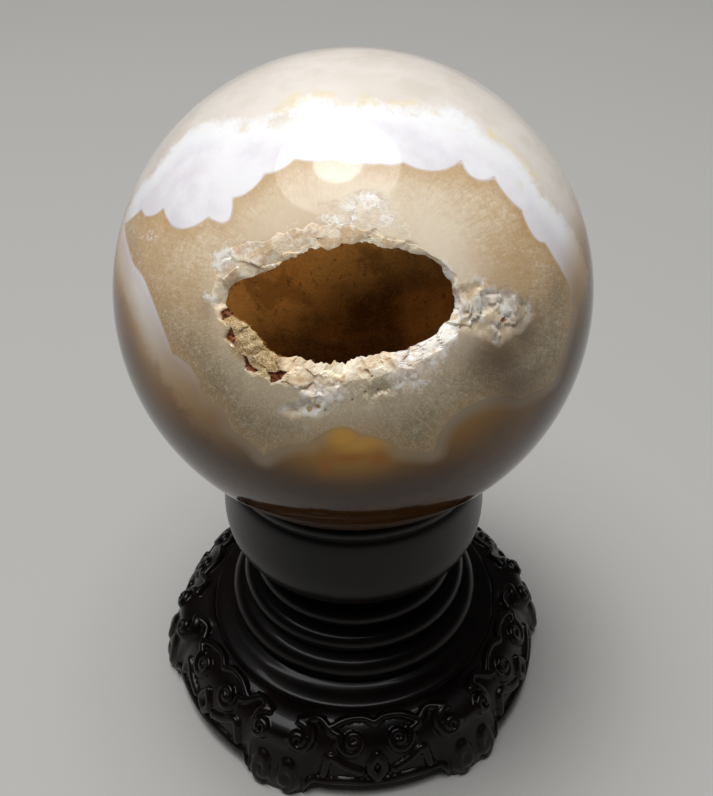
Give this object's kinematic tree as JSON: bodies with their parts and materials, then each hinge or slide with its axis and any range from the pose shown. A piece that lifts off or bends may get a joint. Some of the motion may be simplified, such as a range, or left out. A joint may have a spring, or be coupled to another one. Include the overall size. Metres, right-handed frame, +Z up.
{
  "type": "agate geode sphere",
  "caption": "Polished banded agate ball with a crystal-lined hollow in its front, resting on a turned and carved dark wooden stand.",
  "frame": {"origin": "centre of the stand's footprint, on the surface that it stands on", "axes": "+Z up; the hollow in the ball opens towards -Y and upwards; +X to the right of someone who looks into it"},
  "size_m": [0.1052, 0.1032, 0.165],
  "materials": {
    "agate": "polished, with white, cream and beige bands",
    "crystals": "small amber-brown quartz crystals",
    "dark_wood": "black-brown gloss lacquer"
  },
  "bodies": {
    "root": {"agate_ball": "agate", "crystal_crust": "crystals", "wood_stand": "dark_wood"}
  },
  "joints": []
}
